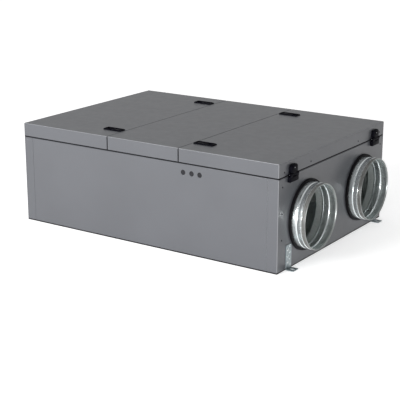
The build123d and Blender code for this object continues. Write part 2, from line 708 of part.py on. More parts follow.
def door_fasteners(side):
    """Rivets along the door's end band and a screw through each hinge leaf."""
    pieces = []
    for y in BAND_RIVET_Y:
        pieces += [rivet((side * END, face * y, BAND_RIVET_Z), (side, 0, 0)) for face in (-1, 1)]
    for y in (-HINGE_Y, HINGE_Y):
        axis = ((side * END, y, HINGE_SCREW_Z), (side, 0, 0))
        pieces.append(rod(*axis, SCREW_R, -4, HINGE_DEPTH) + rod(*axis, 4.0, HINGE_DEPTH, HINGE_DEPTH + 1.6))
    return pieces


# ---- latches ------------------------------------------------------------------------------------


def latch_bezel(side, y):
    """A flush cup with a raised rim, let into the door; its floor is open for the hook."""
    rim_top = HEIGHT + 5
    half = LATCH_WIDTH / 2
    rim = block(latch_x(side, 0, 89), (y - half, y + half), (HEIGHT, rim_top))
    rim = fillet(rim.edges().filter_by(Axis.Z), 6)
    rim = chamfer(rim.faces().sort_by(Axis.Z)[-1].edges(), 1.5)
    cup = block(latch_x(side, 5.5, 83.5), (y - 15, y + 15), (392, HEIGHT + 1))
    bezel = rim + cup
    bezel -= block(latch_x(side, 7.5, 81.5), (y - 13, y + 13), (394, rim_top + 1))
    bezel -= block(latch_x(side, 7.5, 42), (y - 13, y + 13), (390, 395))
    return bezel - rod((side * PIVOT_X, 0, PIVOT_Z), (0, 1, 0), PIVOT_R + 0.1, y - 14.9, y + 14.9)


def latch_paddle(side, y):
    """The lifting paddle with its trunnions and the hook that reaches down past the door."""
    half = 11.5
    plate = block(mirrored(side, PIVOT_X - 3.5, PIVOT_X + 44), (y - half, y + half), (408, 412.5))
    plate = fillet([e for e in plate.edges() if e.center().Z > 410], 1.0)
    arm = block(mirrored(side, PIVOT_X - 2, PIVOT_X + 2), (y - 9, y + 9), (374, 410))
    nib = block(mirrored(side, PIVOT_X - 11.5, PIVOT_X), (y - 9, y + 9), (374, 378))
    pins = rod((side * PIVOT_X, 0, PIVOT_Z), (0, 1, 0), PIVOT_R, y - 14.5, y + 14.5)
    collar = rod((side * PIVOT_X, 0, PIVOT_Z), (0, 1, 0), 3.4, y - half, y + half)
    return plate + arm + nib + pins + collar


def latch_keeper(side, y):
    """A spring-steel strip on the crossbar, whose lip holds the hook."""
    low = DOOR_SEAM + 3.4
    strip = block(mirrored(side, low, low + 0.8), (y - 8, y + 8), (RIM, 384))
    lip = block(mirrored(side, low, low + 5.8), (y - 8, y + 8), (382.6, 384))
    foot = block(mirrored(side, low, low + 4.4), (y - 8, y + 8), (RIM, RIM + 1))
    return strip + lip + foot


# ---- write every piece --------------------------------------------------------------------------


def main():
    os.makedirs("parts", exist_ok=True)
    both = tuple(SIDES.values())
    rows = (-1, 1)

    save("base_pan", base_pan())
    save("front_wall", long_wall(-1))
    save("back_wall", long_wall(1))
    save("corner_posts", *corner_posts())
    save("crossbars", *[crossbar(side) for side in both])
    save("rim_gasket", *rim_gasket())
    save("base_insulation", base_insulation())
    save("wall_insulation", wall_insulation())
    save("lane_dividers", *[lane_divider(side) for side in both])
    save("divider_sheets", *[divider_sheet(side) for side in both])
    save("cross_partitions", *[cross_partition(face) for face in rows])
    save("middle_panel", lid_skin((-DOOR_SEAM + DOOR_GAP, DOOR_SEAM - DOOR_GAP),
                                  [-DOOR_SEAM + DOOR_GAP, DOOR_SEAM - DOOR_GAP]))
    save("middle_panel_lining", lid_lining((-DOOR_SEAM + DOOR_GAP, DOOR_SEAM - DOOR_GAP), GASKET_TOP))

    save("spigot_collars", *[spigot_collar(side, y) for side in both for y in DUCT_Y])
    save("mounting_brackets", *[bracket(side, y) for side in both for y in BRACKET_Y])
    save("casing_fasteners", *casing_fasteners())
    save("cable_grommets", *[cable_grommet(x) for x in CABLE_X])
    save("drain_tray", drain_tray())
    save("drain_pipe", drain_pipe())

    save("exchanger_core", exchanger_core())
    save("filter_frames", *[filter_frame(side) for side in both])
    save("filter_media", *[filter_media(side) for side in both])
    save("exchanger_frame", exchanger_frame())
    save("bypass_duct", bypass_duct())
    save("bypass_blade", bypass_blade())
    save("bypass_actuator", bypass_actuator())
    save("control_box", control_box())
    save("control_box_lid", control_box_lid())
    save("circuit_board", circuit_board())
    save("motor_brackets", *[motor_bracket(side) for side in both])
    save("hinge_bases", *[hinge_base(side, face * HINGE_Y) for side in both for face in rows])
    save("hinge_pins", *[hinge_pin(side, face * HINGE_Y) for side in both for face in rows])
    save("latch_keepers", *[latch_keeper(side, face * LATCH_Y) for side in both for face in rows])

    for name, side in SIDES.items():
        save(f"{name}_end_wall", end_wall(side))
        save(f"{name}_fan_plate", fan_plate(side))
        save(f"{name}_fan_motor", fan_motor(side))
        save(f"{name}_impeller", impeller(side))
        save(f"{name}_door_skin", door_skin(side))
        save(f"{name}_door_lining", door_lining(side))
        save(f"{name}_door_fasteners", *door_fasteners(side))
        save(f"{name}_hinge_leaves", *[hinge_leaf(side, face * HINGE_Y) for face in rows])
        save(f"{name}_latch_bezels", *[latch_bezel(side, face * LATCH_Y) for face in rows])
        for place, face, duct_y in zip(("front", "back"), rows, DUCT_Y):
            save(f"{name}_{place}_spigot", spigot(side, duct_y))
            save(f"{name}_{place}_paddle", latch_paddle(side, face * LATCH_Y))


main()
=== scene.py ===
"""Looks of the flat heat recovery unit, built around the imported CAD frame.

The row frame is in metres; shapes are described in millimetres and scaled by MM. Every piece is made in
place, so each object sits at the origin with its shape in its mesh.
"""

import json
import math

import bpy
import bmesh
from mathutils import Matrix, Vector


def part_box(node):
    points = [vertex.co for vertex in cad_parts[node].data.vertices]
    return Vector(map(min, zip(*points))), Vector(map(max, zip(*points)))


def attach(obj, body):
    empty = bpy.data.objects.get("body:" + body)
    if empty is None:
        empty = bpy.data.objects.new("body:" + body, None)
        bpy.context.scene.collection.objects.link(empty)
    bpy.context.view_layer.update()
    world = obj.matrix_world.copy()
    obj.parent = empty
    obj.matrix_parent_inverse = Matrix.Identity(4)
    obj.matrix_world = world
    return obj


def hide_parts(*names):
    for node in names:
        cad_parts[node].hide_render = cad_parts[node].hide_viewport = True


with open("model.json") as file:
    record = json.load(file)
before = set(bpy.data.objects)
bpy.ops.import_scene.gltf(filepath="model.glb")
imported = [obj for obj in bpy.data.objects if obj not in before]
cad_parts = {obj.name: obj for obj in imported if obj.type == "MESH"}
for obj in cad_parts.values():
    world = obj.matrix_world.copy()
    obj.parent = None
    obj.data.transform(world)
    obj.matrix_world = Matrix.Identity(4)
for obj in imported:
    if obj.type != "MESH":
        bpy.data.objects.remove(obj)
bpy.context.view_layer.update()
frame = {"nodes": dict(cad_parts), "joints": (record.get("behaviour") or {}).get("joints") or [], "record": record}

MM = 0.001
SIDES = {"left": -1, "right": 1}
ROWS = ("front", "back")
X, Y, Z = Vector((1, 0, 0)), Vector((0, 1, 0)), Vector((0, 0, 1))

# ---- camera, light and floor --------------------------------------------------------------------

AZIMUTH = math.radians(34.16)
ELEVATION = math.radians(16.43)
DISTANCE = 4.618
AIM = Vector((0.0, -0.0065, 0.24))
LENS = 100.9
SENSOR = 36
SIDE_STEP, UP_STEP = -0.0148, -0.1539


def add_camera():
    level = Vector((math.sin(AZIMUTH), -math.cos(AZIMUTH), 0))
    back = level * math.cos(ELEVATION) + Z * math.sin(ELEVATION)
    right = Z.cross(back).normalized()
    up = back.cross(right)
    data = bpy.data.cameras.new("camera")
    data.lens = LENS
    data.sensor_width = SENSOR
    camera = bpy.data.objects.new("camera", data)
    turn = Matrix((right, up, back)).transposed().to_4x4()
    place = AIM + right * SIDE_STEP + up * UP_STEP + back * DISTANCE
    camera.matrix_world = Matrix.Translation(place) @ turn
    bpy.context.scene.collection.objects.link(camera)
    bpy.context.scene.camera = camera


def area_light(name, place, target, size, power):
    data = bpy.data.lights.new(name, "AREA")
    data.shape = "RECTANGLE"
    data.size, data.size_y = size
    data.energy = power
    light = bpy.data.objects.new(name, data)
    light.location = place
    light.rotation_euler = (Vector(target) - Vector(place)).to_track_quat("-Z", "Y").to_euler()
    bpy.context.scene.collection.objects.link(light)


def add_studio():
    world = bpy.data.worlds.new("studio")
    bpy.context.scene.world = world
    world.use_nodes = True
    background = world.node_tree.nodes["Background"]
    background.inputs["Color"].default_value = (1.0, 1.0, 1.0, 1)
    background.inputs["Strength"].default_value = 0.55
    bpy.context.scene.view_settings.view_transform = "Standard"
    area_light("key", (-1.3, -5.2, 2.5), (0, 0, 0.2), (2.4, 1.4), 190)
    area_light("edge", (1.6, -4.9, 0.45), (0.55, -0.4, 0.25), (0.3, 0.6), 95)
    pale = Finish("floor", (0.9, 0.9, 0.9), 0.8)
    pale.shader.inputs["Emission Color"].default_value = (1, 1, 1, 1)
    pale.shader.inputs["Emission Strength"].default_value = 0.55
    reach = 30
    stage_sheet("floor", [(x * reach, y * reach, 0) for x, y in ((-1, -1), (1, -1), (1, 1), (-1, 1))], pale)
    dark = Finish("flag", (0.02, 0.02, 0.022), 0.9)
    front, back, foot, top = -2.2, 4.5, 0.02, 2.6
    card = [(3.0, front, foot), (3.0, back, foot), (3.0, back, top), (3.0, front, top)]
    flag = stage_sheet("flag", card, dark)
    flag.visible_camera = False


def stage_sheet(name, corners, finish):
    """A flat sheet of the studio: the floor, or a dark card beside the object."""
    sheet = bpy.data.objects.new(name, bpy.data.meshes.new(name))
    sheet.data.from_pydata(corners, [], [(0, 1, 2, 3)])
    bpy.context.scene.collection.objects.link(sheet)
    sheet.data.materials.append(finish.material)
    return sheet


# ---- materials ----------------------------------------------------------------------------------


class Finish:
    """A Principled material, with short calls that add procedural detail in the mesh's own metres."""

    def __init__(self, name, colour, roughness, metallic=0.0, specular=0.5):
        self.material = bpy.data.materials.new(name)
        self.material.use_nodes = True
        self.nodes = self.material.node_tree.nodes
        self.links = self.material.node_tree.links
        self.shader = self.nodes["Principled BSDF"]
        self.shader.inputs["Base Color"].default_value = (*colour, 1)
        self.shader.inputs["Roughness"].default_value = roughness
        self.shader.inputs["Metallic"].default_value = metallic
        self.shader.inputs["Specular IOR Level"].default_value = specular
        coordinates = self.nodes.new("ShaderNodeTexCoord")
        self.place = coordinates.outputs["Object"]
        self.normal = coordinates.outputs["Normal"]

    def compute(self, operation, a, b=None):
        """A Math node; each operand is a socket or a number."""
        node = self.nodes.new("ShaderNodeMath")
        node.operation = operation
        for socket, value in zip(node.inputs, (a, b)):
            if isinstance(value, float):
                socket.default_value = value
            elif value is not None:
                self.links.new(value, socket)
        return node.outputs["Value"]

    def split(self, vector):
        node = self.nodes.new("ShaderNodeSeparateXYZ")
        self.links.new(vector, node.inputs["Vector"])
        return node.outputs

    def flatness(self, seam_reach, top):
        """1 on a flat face, down to 0.7 half-way round an outer bend; a joint's own bends count as flat."""
        x, y, z = [self.compute("ABSOLUTE", part) for part in self.split(self.normal)]
        place = self.split(self.place)
        most = self.compute("MAXIMUM", self.compute("MAXIMUM", x, y), z)
        below = self.compute("LESS_THAN", place["Z"], top)
        between = self.compute("LESS_THAN", self.compute("ABSOLUTE", place["X"]), seam_reach)
        in_joint = self.compute("MULTIPLY", z, below)
        in_seam = self.compute("MULTIPLY", x, between)
        return self.compute("ADD", most, self.compute("ADD", in_joint, in_seam))

    def stretched(self, x, y, z):
        """Texture space stretched along the axes, for brushed or rolled streaks."""
        mapping = self.nodes.new("ShaderNodeMapping")
        mapping.inputs["Scale"].default_value = (x, y, z)
        self.links.new(self.place, mapping.inputs["Vector"])
        return mapping.outputs["Vector"]

    def noise(self, size, detail=3.0, space=None):
        """Soft noise whose features are about size metres across."""
        node = self.nodes.new("ShaderNodeTexNoise")
        node.inputs["Scale"].default_value = 1 / size
        node.inputs["Detail"].default_value = detail
        self.links.new(space or self.place, node.inputs["Vector"])
        return node.outputs["Fac"]

    def cells(self, size, output="Color"):
        """A Voronoi pattern with cells about size metres across."""
        node = self.nodes.new("ShaderNodeTexVoronoi")
        node.inputs["Scale"].default_value = 1 / size
        self.links.new(self.place, node.inputs["Vector"])
        return node.outputs[output]

    def ramp(self, value, low, high, start=0.0, end=1.0):
        """Maps a value between two colours or two greys."""
        node = self.nodes.new("ShaderNodeValToRGB")
        node.color_ramp.elements[0].position = start
        node.color_ramp.elements[1].position = end
        for element, colour in zip(node.color_ramp.elements, (low, high)):
            grey = (colour,) * 3 if isinstance(colour, float) else colour
            element.color = (*grey, 1)
        self.links.new(value, node.inputs["Fac"])
        return node.outputs["Color"]

    def mix(self, a, b, factor=0.5, blend="MIX"):
        node = self.nodes.new("ShaderNodeMix")
        node.data_type = "RGBA"
        node.blend_type = blend
        node.inputs["Factor"].default_value = factor
        self.links.new(a, node.inputs["A"])
        self.links.new(b, node.inputs["B"])
        return node.outputs["Result"]

    def colour(self, value, low, high, start=0.0, end=1.0):
        self.links.new(self.ramp(value, low, high, start, end), self.shader.inputs["Base Color"])
        return self

    def rough(self, value, low, high, start=0.0, end=1.0):
        self.links.new(self.ramp(value, low, high, start, end), self.shader.inputs["Roughness"])
        return self

    def bump(self, value, height, strength=0.5):
        """Adds surface relief; height is in metres, and calls stack."""
        node = self.nodes.new("ShaderNodeBump")
        node.inputs["Strength"].default_value = strength
        node.inputs["Distance"].default_value = height
        self.links.new(value, node.inputs["Height"])
        if self.shader.inputs["Normal"].is_linked:
            self.links.new(self.shader.inputs["Normal"].links[0].from_socket, node.inputs["Normal"])
        self.links.new(node.outputs["Normal"], self.shader.inputs["Normal"])
        return self


def powder_coat():
    """Satin powder coat: fine orange peel over faintly uneven grey.

    Outer bends are drawn lighter, to stand in for the thin glint that a small fold has.
    """
    finish = Finish("powder_coat", (0.087, 0.09, 0.1), 0.36, specular=0.7)
    # bend is the painted highlight colour for outer bends, standing in for their glint; flat is the paint's own
    # grey
    bend, flat = (0.25, 0.255, 0.27), (0.0895, 0.0935, 0.105)
    sheet = finish.ramp(finish.flatness(seam_reach=0.5, top=0.4), bend, flat, 0.86, 0.985)
    patches = finish.ramp(finish.noise(0.25, 4), 0.92, 1.0, 0.35, 0.65)
    coat = finish.mix(sheet, patches, 1.0, "MULTIPLY")
    finish.links.new(coat, finish.shader.inputs["Base Color"])
    finish.rough(finish.noise(0.03, 3), 0.32, 0.36, 0.3, 0.7)
    finish.bump(finish.noise(0.0022, 2), 0.00012, 0.12)
    return finish


def galvanised(name="galvanised", tint=(0.74, 0.79, 0.8), rough=0.36, contrast=0.8, metallic=0.55):
    """Hot-dip zinc: spangle cells that differ in tone and gloss, and faint rolling streaks."""
    finish = Finish(name, tint, rough, metallic=metallic)
    dark = tuple(c * contrast for c in tint)
    spangle = finish.cells(0.016)
    streak = finish.noise(0.02, 3, finish.stretched(0.25, 1, 1))
    both = finish.mix(spangle, streak, 0.5)
    finish.colour(both, dark, tint, 0.25, 0.7)
    finish.rough(finish.mix(spangle, finish.noise(0.01, 2), 0.5), rough - 0.04, rough + 0.06, 0.25, 0.75)
    finish.bump(finish.noise(0.05, 2), 0.0012, 0.08)
    return finish


def rubber(name="seal_rubber", colour=(0.0035, 0.0033, 0.0045), roughness=0.6, specular=0.15):
    finish = Finish(name, colour, roughness, specular=specular)
    light = tuple(c * 1.8 for c in colour)
    finish.colour(finish.noise(0.012, 5), colour, light, 0.45, 0.8)
    finish.bump(finish.noise(0.0012, 3), 0.0002, 0.35)
    return finish


def black_plastic():
    """Moulded black plastic with a fine spark-eroded texture."""
    finish = Finish("black_plastic", (0.004, 0.004, 0.0075), 0.42, specular=0.03)
    finish.colour(finish.noise(0.02, 3), (0.0028, 0.0028, 0.0056), (0.005, 0.005, 0.0085), 0.35, 0.7)
    finish.rough(finish.noise(0.006, 4), 0.36, 0.5, 0.3, 0.7)
    finish.bump(finish.noise(0.0006, 2), 0.00006, 0.4)
    return finish


def bright_steel():
    finish = Finish("zinc_steel", (0.66, 0.67, 0.68), 0.3, metallic=1.0)
    finish.colour(finish.noise(0.004, 4), (0.5, 0.51, 0.52), (0.74, 0.75, 0.76), 0.3, 0.7)
    finish.bump(finish.noise(0.0009, 2), 0.00004, 0.3)
    return finish


def painted_rivet():
    """Painted rivet heads in a grey far darker than the panel around them, with faint random mottling."""
    finish = Finish("painted_rivet", (0.014, 0.014, 0.017), 0.75, specular=0.08)
    finish.colour(finish.noise(0.003, 3), (0.009, 0.009, 0.012), (0.02, 0.02, 0.024), 0.35, 0.65)
    finish.bump(finish.noise(0.001, 2), 0.00004, 0.4)
    return finish


def foam():
    """Greenish grey acoustic foam with a fleece face."""
    finish = Finish("foam_lining", (0.2, 0.215, 0.21), 0.95, specular=0.15)
    finish.colour(finish.cells(0.0028, "Distance"), (0.36, 0.39, 0.38), (0.55, 0.59, 0.575), 0.1, 0.75)
    finish.bump(finish.cells(0.0028, "Distance"), 0.0012, 0.8)
    finish.bump(finish.noise(0.04, 3), 0.002, 0.4)
    return finish


def core_plastic():
    finish = Finish("core_plate", (0.72, 0.74, 0.75), 0.35)
    finish.colour(finish.noise(0.05, 4), (0.62, 0.65, 0.66), (0.8, 0.81, 0.82), 0.3, 0.7)
    finish.bump(finish.noise(0.002, 2), 0.0001, 0.3)
    return finish


def brushed_aluminium(name="aluminium", colour=(0.78, 0.79, 0.8)):
    finish = Finish(name, colour, 0.34, metallic=1.0)
    lines = finish.noise(0.002, 2, finish.stretched(0.03, 1, 1))
    finish.colour(lines, tuple(c * 0.82 for c in colour), colour, 0.3, 0.7)
    finish.bump(lines, 0.00005, 0.25)
    return finish


def filter_paper():
    """Synthetic fibre fleece."""
    finish = Finish("filter_paper", (0.8, 0.81, 0.79), 0.95, specular=0.1)
    fibres = finish.noise(0.0016, 6, finish.stretched(1, 1, 0.3))
    finish.colour(fibres, (0.66, 0.67, 0.65), (0.86, 0.87, 0.85), 0.3, 0.7)
    finish.bump(fibres, 0.0005, 0.5)
    return finish


def filter_card():
    finish = Finish("filter_card", (0.6, 0.52, 0.4), 0.85, specular=0.2)
    flutes = finish.noise(0.003, 3, finish.stretched(1, 1, 0.05))
    finish.colour(flutes, (0.5, 0.43, 0.32), (0.66, 0.58, 0.45), 0.3, 0.7)
    finish.bump(flutes, 0.0002, 0.4)
    return finish


def plastic(name, colour, roughness=0.45):
    finish = Finish(name, colour, roughness)
    dark, light = [tuple(c * scale for c in colour) for scale in (0.85, 1.12)]
    finish.colour(finish.noise(0.03, 3), dark, light, 0.3, 0.7)
    finish.bump(finish.noise(0.0008, 2), 0.00006, 0.4)
    return finish


def circuit_laminate():
    """Green solder mask over copper tracks."""
    finish = Finish("board_laminate", (0.02, 0.13, 0.06), 0.3)
    tracks = finish.cells(0.005, "Distance")
    finish.colour(tracks, (0.012, 0.1, 0.04), (0.04, 0.22, 0.1), 0.25, 0.3)
    return finish


FINISHES = {
    "casing_paint": powder_coat().material,
    "galvanised_steel": galvanised().material,
    "spigot_zinc": galvanised("spigot_zinc", (0.9, 0.955, 0.96), 0.22, 0.92, 0.88).material,
    # a darker copy of the spigot zinc for the rolled rims: painted shade
    "rim_zinc_shaded": galvanised("rim_zinc_shaded", (0.42, 0.44, 0.43), 0.34, 0.85, 0.8).material,
    # a darker copy of the zinc for the brackets: painted shade; their hole rims use the bright spigot zinc
    "bracket_zinc_shaded": galvanised("bracket_zinc_shaded", (0.34, 0.39, 0.41), 0.34, 0.8, 0.7).material,
    "seal_rubber": rubber().material,
    "grommet_rubber": rubber("grommet_rubber", (0.02, 0.02, 0.023), 0.6).material,
    "lip_seal": rubber("lip_seal", (0.13, 0.13, 0.125), 0.3, 0.6).material,
    # base_coat: near-black, painted shade for the dark line at the foot of the walls
    "base_coat": rubber("base_coat", (0.008, 0.008, 0.009), 0.5).material,
    "black_plastic": black_plastic().material,
    "bright_steel": bright_steel().material,
    "foam_lining": foam().material,
    "core_plate": core_plastic().material,
    "core_frame": brushed_aluminium().material,
    "filter_paper": filter_paper().material,
    "filter_card": filter_card().material,
    "drain_plastic": plastic("drain_plastic", (0.03, 0.03, 0.034)).material,
    "impeller_plastic": plastic("impeller_plastic", (0.09, 0.095, 0.105), 0.4).material,
    "motor_paint": plastic("motor_paint", (0.02, 0.02, 0.023), 0.35).material,
    "actuator_plastic": plastic("actuator_plastic", (0.5, 0.16, 0.03), 0.45).material,
    "blade_metal": brushed_aluminium("blade_metal", (0.7, 0.71, 0.72)).material,
    "board_laminate": circuit_laminate().material,
    "painted_rivet": painted_rivet().material,
}

# ---- mesh building ------------------------------------------------------------------------------


def piece(name, mesh, body, slot, stands_for=(), finish=None, sharp=30):
    """Links a mesh as one visible piece on a CAD body."""
    mesh.name = name
    for polygon in mesh.polygons:
        polygon.use_smooth = True
    mesh.set_sharp_from_angle(angle=math.radians(sharp))
    item = bpy.data.objects.new(name, mesh)
    bpy.context.scene.collection.objects.link(item)
    mesh.materials.clear()
    mesh.materials.append(FINISHES[finish or slot])
    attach(item, body)
    if stands_for:
        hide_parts(*stands_for)
    return item


def joined(*meshes):
    """One mesh out of several."""
    builder = bmesh.new()
    for mesh in meshes:
        builder.from_mesh(mesh)
    bmesh.ops.recalc_face_normals(builder, faces=builder.faces)
    whole = bpy.data.meshes.new("joined")
    builder.to_mesh(whole)
    builder.free()
    return whole


def placed(mesh, matrix):
    """The mesh in millimetres, moved by a matrix that is in millimetres too, as a mesh in metres."""
    mesh.transform(Matrix.Scale(MM, 4) @ matrix)
    if matrix.determinant() < 0:
        mesh.flip_normals()
    return mesh


def axes(origin, x_axis, z_axis):
    """A frame whose X and Z point along the two given directions."""
    y_axis = Vector(z_axis).cross(Vector(x_axis))
    turn = Matrix((Vector(x_axis), y_axis, Vector(z_axis))).transposed().to_4x4()
    return Matrix.Translation(Vector(origin)) @ turn


def lathe(profile, steps=128, closed=True):
    """Turns (radius, height) points about Z."""
    builder = bmesh.new()
    rings = []
    for step in range(steps):
        angle = 2 * math.pi * step / steps
        rings.append([builder.verts.new((r * math.cos(angle), r * math.sin(angle), z)) for r, z in profile])
    count = len(profile)
    for step in range(steps):
        here, after = rings[step], rings[(step + 1) % steps]
        for index in range(count if closed else count - 1):
            onward = (index + 1) % count
            builder.faces.new((here[index], after[index], after[onward], here[onward]))
    bmesh.ops.remove_doubles(builder, verts=builder.verts, dist=1e-4)
    bmesh.ops.recalc_face_normals(builder, faces=builder.faces)
    mesh = bpy.data.meshes.new("lathe")
    builder.to_mesh(mesh)
    builder.free()
    return mesh


def arc(centre, radius, start, end, steps=8):
    """Points along an arc, angles in degrees, in a profile's (radius, height) plane."""
    points = []
    for step in range(steps + 1):
        angle = math.radians(start + (end - start) * step / steps)
        points.append((centre[0] + radius * math.cos(angle), centre[1] + radius * math.sin(angle)))
    return points


def rounded_rectangle(half_x, half_y, radius, steps=5):
    """The points of a rectangle with round corners, anticlockwise."""
    points = []
    for corner, (sx, sy) in enumerate(((1, 1), (-1, 1), (-1, -1), (1, -1))):
        centre = (sx * (half_x - radius), sy * (half_y - radius))
        points += arc(centre, radius, 90 * corner, 90 * corner + 90, steps)
    return points


def loft(sections, closed=True, caps=False):
    """Joins rings of points, each a list of (x, y) at a height, into one skin."""
    builder = bmesh.new()
    rings = [[builder.verts.new((x, y, z)) for x, y in outline] for outline, z in sections]
    pairs = list(zip(rings, rings[1:])) + ([(rings[-1], rings[0])] if closed else [])
    for lower, upper in pairs:
        for index in range(len(lower)):
            onward = (index + 1) % len(lower)
            builder.faces.new((lower[index], lower[onward], upper[onward], upper[index]))
    if caps:
        builder.faces.new(rings[-1])
        builder.faces.new(list(reversed(rings[0])))
    bmesh.ops.recalc_face_normals(builder, faces=builder.faces)
    mesh = bpy.data.meshes.new("loft")
    builder.to_mesh(mesh)
    builder.free()
    return mesh


def plate(outlines, thickness, edge=0.3):
    """A flat plate with softened edges: the first outline is its edge and the others are holes."""
    curve = bpy.data.curves.new("plate", "CURVE")
    curve.dimensions = "2D"
    curve.fill_mode = "BOTH"
    curve.extrude = thickness / 2 - edge
    curve.bevel_depth = edge
    curve.bevel_resolution = 2
    for outline in outlines:
        spline = curve.splines.new("POLY")
        spline.points.add(len(outline) - 1)
        for point, (x, y) in zip(spline.points, outline):
            point.co = (x, y, 0, 1)
        spline.use_cyclic_u = True
    holder = bpy.data.objects.new("plate", curve)
    mesh = bpy.data.meshes.new_from_object(holder)
    bpy.data.objects.remove(holder)
    builder = bmesh.new()
    builder.from_mesh(mesh)
    bmesh.ops.remove_doubles(builder, verts=builder.verts, dist=1e-4)
    bmesh.ops.recalc_face_normals(builder, faces=builder.faces)
    builder.to_mesh(mesh)
    builder.free()
    return mesh


def circle(x, y, radius, steps=24):
    turns = [2 * math.pi * k / steps for k in range(steps)]
    return [(x + radius * math.cos(turn), y + radius * math.sin(turn)) for turn in turns]


def slot_outline(x, y, length, radius, steps=10):
    """An obround along X."""
    reach = length / 2 - radius
    return arc((x + reach, y), radius, -90, 90, steps) + arc((x - reach, y), radius, 90, 270, steps)


def soft_box(size, centre, edge=0.8, segments=3):
    """A box with rounded edges, as a mesh in millimetres."""
    builder = bmesh.new()
    bmesh.ops.create_cube(builder, size=1)
    for vert in builder.verts:
        vert.co = Vector([c + v * s for c, v, s in zip(centre, vert.co, size)])
    bmesh.ops.bevel(builder, geom=builder.edges[:], offset=edge, segments=segments, profile=0.5,
                    affect="EDGES")
    bmesh.ops.recalc_face_normals(builder, faces=builder.faces)
    mesh = bpy.data.meshes.new("soft_box")
    builder.to_mesh(mesh)
    builder.free()
    return mesh


def node_box(node):
    """A CAD node's lowest and highest corners, in millimetres."""
    low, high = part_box(node)
    return low / MM, high / MM


def wall_face():
    """How far the end walls' outer faces are from the middle."""
    return node_box("right_end_wall")[1].x


def joint_place(name):
    """Where a joint's axis passes, in millimetres."""
    joint = next(j for j in frame["joints"] if j["name"] == name)
    return Vector(joint["pos_m"]) / MM


# ---- duct spigots and collars -------------------------------------------------------------------

DUCT_RADIUS = 125.0
DUCT_SHEET = 1.0
SEAM_ANGLES = {"left": 84, "right": 96}


def spigot_profile(radius, length, flange):
    """A rolled sheet tube: inner flange, a shallow bead, the lip seal's seat and the hemmed inner end."""
    def wall(offset):
        r = radius - offset
        bead = [(r - 2.0 * math.sin(math.pi * k / 10) ** 2, 24.0 + 7.0 * k / 10) for k in range(11)]
        neck = [(r, length - 18.5), (r - 2.6, length - 16.8), (r - 3.2, length - 15.0)]
        return [(r, 0.0)] + bead + neck + [(r - 3.2, length - 6.0)]
    hem = arc((radius - DUCT_SHEET - 1.0, 4.0), 1.3, 80, 280, 8)
    back = hem + [(radius - DUCT_SHEET, 2.6), (radius - DUCT_SHEET, -2.3), (flange, -2.3), (flange, -1.3),
                  (radius, -1.3)]
    return wall(0.0) + list(reversed(wall(DUCT_SHEET)))[:-1] + back


def rim_profile(radius, length):
    """The curl rolled round the mouth of a spigot."""
    curl = arc((radius - 1.5, length - 1.5), 1.5, -30, 190, 12)
    return [(radius - 3.2, length - 6.2)] + curl + [(radius - DUCT_SHEET - 3.2, length - 4.4)]


def lip_seal_profile(radius, length):
    """A rubber seal with two low lips, seated between the bead and the rim."""
    seat = radius - 3.15
    start, end = length - 16.6, length - 4.6
    lip, groove, shoulder = radius - 0.5, radius - 1.8, radius - 1.6
    points = [(seat, start), (shoulder, start + 0.8), (lip, start + 2.4), (lip, start + 3.2)]
    points += [(groove, start + 4.6), (groove, start + 6.6), (lip, start + 8.2), (lip, start + 9.0)]
    return points + [(shoulder, end - 0.6), (seat, end)]


def duct_frame(side, row):
    """Where a spigot leaves its end wall, its axis pointing out, its length and its flange radius."""
    low, high = node_box(f"{side}_{row}_spigot")
    out = SIDES[side]
    wall = out * wall_face()
    length = abs((high.x if out > 0 else low.x) - wall)
    centre = (wall, (low.y + high.y) / 2, (low.z + high.z) / 2)
    return axes(centre, Y * out, X * out), length, (high.z - low.z) / 2


def lap_seam(place, turn, start, end):
    """One stretch of the tube's lap seam with its spot weld."""
    angle = math.radians(turn)
    out = Vector((math.cos(angle), math.sin(angle), 0))
    strip = soft_box((end - start, 9, 1.0), ((start + end) / 2, 0, 0), 0.3, 1)
    weld = lathe([(0, -0.3), (2.2, -0.3), (2.0, 0.25), (1.2, 0.4), (0.8, 0.15), (0, 0.1)], 16, closed=False)
    middle = Z * (start + end) / 2
    return [placed(strip, place @ axes(out * (DUCT_RADIUS - 0.62), Z, out)),
            placed(weld, place @ axes(out * (DUCT_RADIUS - 0.3) + middle, Z, out))]


def spigots():
    """Galvanised tubes with a lap seam and spot welds, each with a grey lip seal and a rolled rim."""
    steps = 160
    for side in SIDES:
        for row in ROWS:
            place, length, flange = duct_frame(side, row)
            meshes = [placed(lathe(spigot_profile(DUCT_RADIUS, length, flange), steps), place)]
            for start, end in ((9.5, 24.0), (31.0, length - 19)):
                meshes += lap_seam(place, SEAM_ANGLES[side], start, end)
            piece(f"{side}_{row}_duct_spigot", joined(*meshes), "casing", "galvanised_steel",
                  [f"{side}_{row}_spigot"], finish="spigot_zinc")
            # the rims take the darker, shaded copy of the zinc: painted shade
            rim = placed(lathe(rim_profile(DUCT_RADIUS, length), steps), place)
            piece(f"{side}_{row}_rolled_rim", rim, "casing", "galvanised_steel", finish="rim_zinc_shaded")
            seal = placed(lathe(lip_seal_profile(DUCT_RADIUS, length), steps), place)
            piece(f"{side}_{row}_lip_seal", seal, "casing", "seal_rubber", finish="lip_seal")


def collars():
    """Rubber collars with a soft outer lip, one round each spigot."""
    meshes = []
    low, high = node_box("spigot_collars")
    inner, outer, roll = DUCT_RADIUS + 0.2, (high.z - low.z) / 2, 2.2
    profile = [(inner, 0.0), (outer, 0.0)] + arc((outer - roll, 5.6), roll, 0, 80, 6)
    profile += arc((inner + 3.2, 6.6), roll, 60, 150, 6) + [(inner, 7.4)]
    for side in SIDES:
        for row in ROWS:
            meshes.append(placed(lathe(profile, 128), duct_frame(side, row)[0]))
    piece("rubber_collars", joined(*meshes), "casing", "seal_rubber", ["spigot_collars"])


# ---- latches ------------------------------------------------------------------------------------


LATCH_WIDTH = 36.0
CUP_FLOOR = (42.0, 81.5)      # the solid part of a cup's floor, along the latch
PADDLE_WIDTH = 23.0


